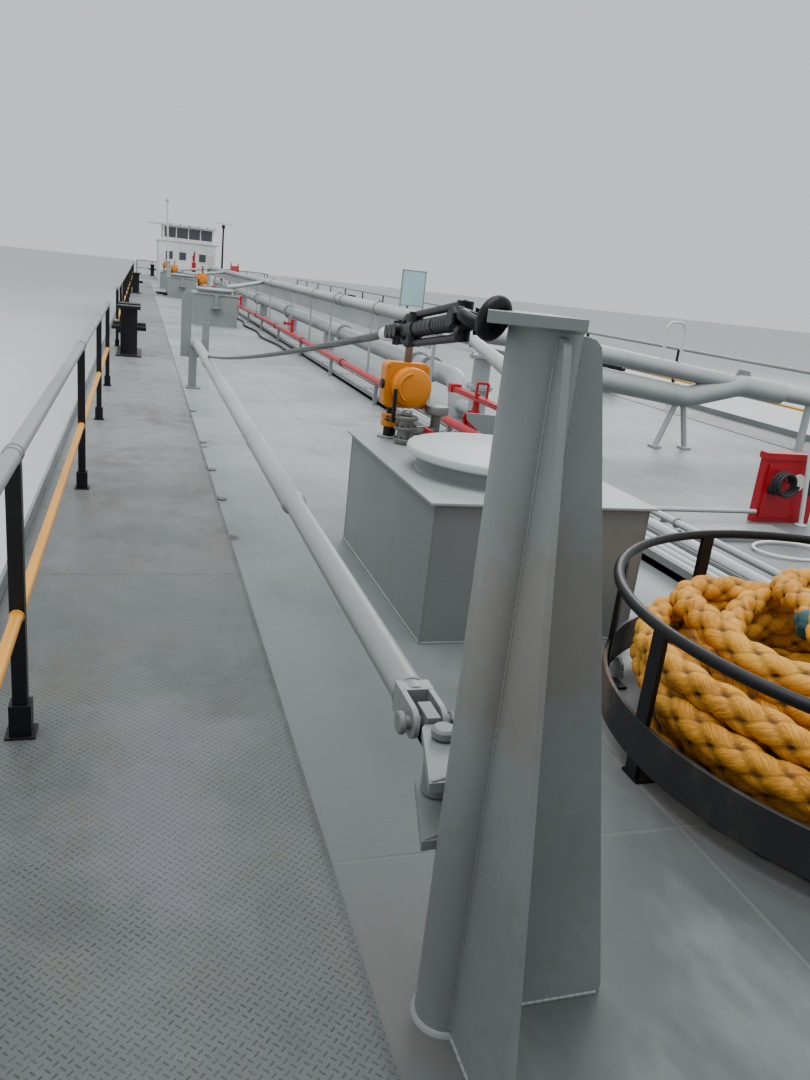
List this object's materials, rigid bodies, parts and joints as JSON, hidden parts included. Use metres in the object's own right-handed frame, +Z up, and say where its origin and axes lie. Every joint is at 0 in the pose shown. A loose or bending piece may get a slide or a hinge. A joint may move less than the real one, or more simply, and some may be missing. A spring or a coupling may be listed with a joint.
{
  "type": "half-size model of a self-propelled river tank barge",
  "caption": "Flat-bottomed self-propelled river tank barge at half size: tank hatches, deck piping, hose derricks, rope basket, deckhouse and twin screws.",
  "frame": {"origin": "midships on the centre line, on the flat bottom", "axes": "+X towards the bow, +Y to port, +Z up"},
  "size_m": [39, 5.15, 3.8579],
  "materials": {
    "deck_paint": "worn satin deck paint, cool grey",
    "tread_plate": "scuffed grey tread plate",
    "gear_paint": "satin grey paint over weld beads",
    "pipe_paint": "satin pale grey paint",
    "black_paint": "semi-gloss black paint",
    "orange_paint": "gloss orange paint",
    "red_paint": "gloss red paint",
    "white_paint": "weathered white paint",
    "bare_steel": "dull steel with grey overspray",
    "bronze": "dull bronze",
    "wire": "greased dark wire rope",
    "rope": "yellow plaited fibre",
    "window_glass": "tinted glass"
  },
  "bodies": {
    "barge": {"hull": "deck_paint", "walkway_starboard": "tread_plate", "walkway_port": "tread_plate", "bow_bulwark": "deck_paint", "rail_starboard_fore": "black_paint", "rail_starboard_middle": "black_paint", "rail_starboard_aft": "black_paint", "rail_port": "black_paint", "rail_stern": "black_paint", "bitts_starboard_middle": "black_paint", "bitts_starboard_aft": "black_paint", "bitts_port_middle": "black_paint", "bitts_port_aft": "black_paint", "bitts_stern_starboard": "black_paint", "bitts_stern_port": "black_paint", "windlass": "gear_paint", "derrick_post": "gear_paint", "gooseneck": "gear_paint", "turnbuckle": "black_paint", "topping_wire": "wire", "boom_crutch": "gear_paint", "after_derrick_post": "gear_paint", "rope_basket": "black_paint", "mooring_rope": "rope", "hatch_trunk_1": "gear_paint", "hatch_trunk_2": "gear_paint", "hatch_trunk_3": "gear_paint", "hatch_trunk_4": "gear_paint", "level_gauge": "orange_paint", "gauge_valves": "bare_steel", "header_pipe": "pipe_paint", "cargo_pipe": "pipe_paint", "fire_main": "red_paint", "conduit_tray": "gear_paint", "crossover_pipes": "pipe_paint", "deck_valve": "red_paint", "fire_box": "red_paint", "house_walls": "white_paint", "house_roof": "white_paint", "wheelhouse_walls": "white_paint", "wheelhouse_glass": "window_glass", "wheelhouse_roof": "white_paint", "radar_mast": "black_paint", "hose_reel_stand": "red_paint"},
    "boom": {"derrick_boom": "gear_paint"},
    "after_boom": {"after_derrick_boom": "gear_paint"},
    "lid_1": {"tank_lid_1": "gear_paint"},
    "lid_2": {"tank_lid_2": "gear_paint"},
    "lid_3": {"tank_lid_3": "gear_paint"},
    "lid_4": {"tank_lid_4": "gear_paint"},
    "door_port": {"house_door_port": "white_paint"},
    "door_aft": {"house_door_aft": "white_paint"},
    "scanner": {"radar_scanner": "white_paint"},
    "reel": {"hose_reel": "red_paint"},
    "screw_starboard": {"propeller_starboard": "bronze"},
    "screw_port": {"propeller_port": "bronze"},
    "rudder_starboard": {"rudder_starboard": "black_paint"},
    "rudder_port": {"rudder_port": "black_paint"}
  },
  "joints": [
    {"name": "boom_luff", "type": "hinge", "parent": "barge", "child": "boom", "pos_m": [15.106, -1.872, 2.0925], "axis": [0, 1, 0], "range_deg": [0, 60], "deforming": ["topping_wire"]},
    {"name": "after_boom_luff", "type": "hinge", "parent": "barge", "child": "after_boom", "pos_m": [-4, -1.65, 2.47], "axis": [0, 1, 0], "range_deg": [-30, 30]},
    {"name": "lid_1_hinge", "type": "hinge", "parent": "barge", "child": "lid_1", "pos_m": [13.96, -1.04, 2.2125], "axis": [-1, 0, 0], "range_deg": [0, 110]},
    {"name": "lid_2_hinge", "type": "hinge", "parent": "barge", "child": "lid_2", "pos_m": [4.3, -1.025, 2.2575], "axis": [-1, 0, 0], "range_deg": [0, 110]},
    {"name": "lid_3_hinge", "type": "hinge", "parent": "barge", "child": "lid_3", "pos_m": [-2.5, -1.15, 2.2575], "axis": [-1, 0, 0], "range_deg": [0, 110]},
    {"name": "lid_4_hinge", "type": "hinge", "parent": "barge", "child": "lid_4", "pos_m": [-6.75, -1.21, 2.2575], "axis": [-1, 0, 0], "range_deg": [0, 110]},
    {"name": "door_port_hinge", "type": "hinge", "parent": "barge", "child": "door_port", "pos_m": [-13.55, 0.034, 2.3], "axis": [0, 0, -1], "range_deg": [0, 110]},
    {"name": "door_aft_hinge", "type": "hinge", "parent": "barge", "child": "door_aft", "pos_m": [-17.009, -0.625, 2.3], "axis": [0, 0, -1], "range_deg": [0, 110]},
    {"name": "scanner_turn", "type": "hinge", "parent": "barge", "child": "scanner", "pos_m": [-12.2, 0.21, 3.66], "axis": [0, 0, 1], "continuous": true},
    {"name": "reel_turn", "type": "hinge", "parent": "barge", "child": "reel", "pos_m": [-11.7, 0.55, 2.35], "axis": [0, 1, 0], "continuous": true},
    {"name": "screw_starboard_turn", "type": "hinge", "parent": "barge", "child": "screw_starboard", "pos_m": [-17.45, -1.25, 0.425], "axis": [1, 0, 0], "continuous": true},
    {"name": "screw_port_turn", "type": "hinge", "parent": "barge", "child": "screw_port", "pos_m": [-17.45, 1.25, 0.425], "axis": [1, 0, 0], "continuous": true},
    {"name": "rudder_starboard_turn", "type": "hinge", "parent": "barge", "child": "rudder_starboard", "pos_m": [-18.45, -1.25, 0.5], "axis": [0, 0, 1], "range_deg": [-35, 35]},
    {"name": "rudder_port_turn", "type": "hinge", "parent": "barge", "child": "rudder_port", "pos_m": [-18.45, 1.25, 0.5], "axis": [0, 0, 1], "range_deg": [-35, 35]}
  ],
  "couplings": [
    {"joint": "rudder_port_turn", "follows": "rudder_starboard_turn", "ratio": 1}
  ]
}
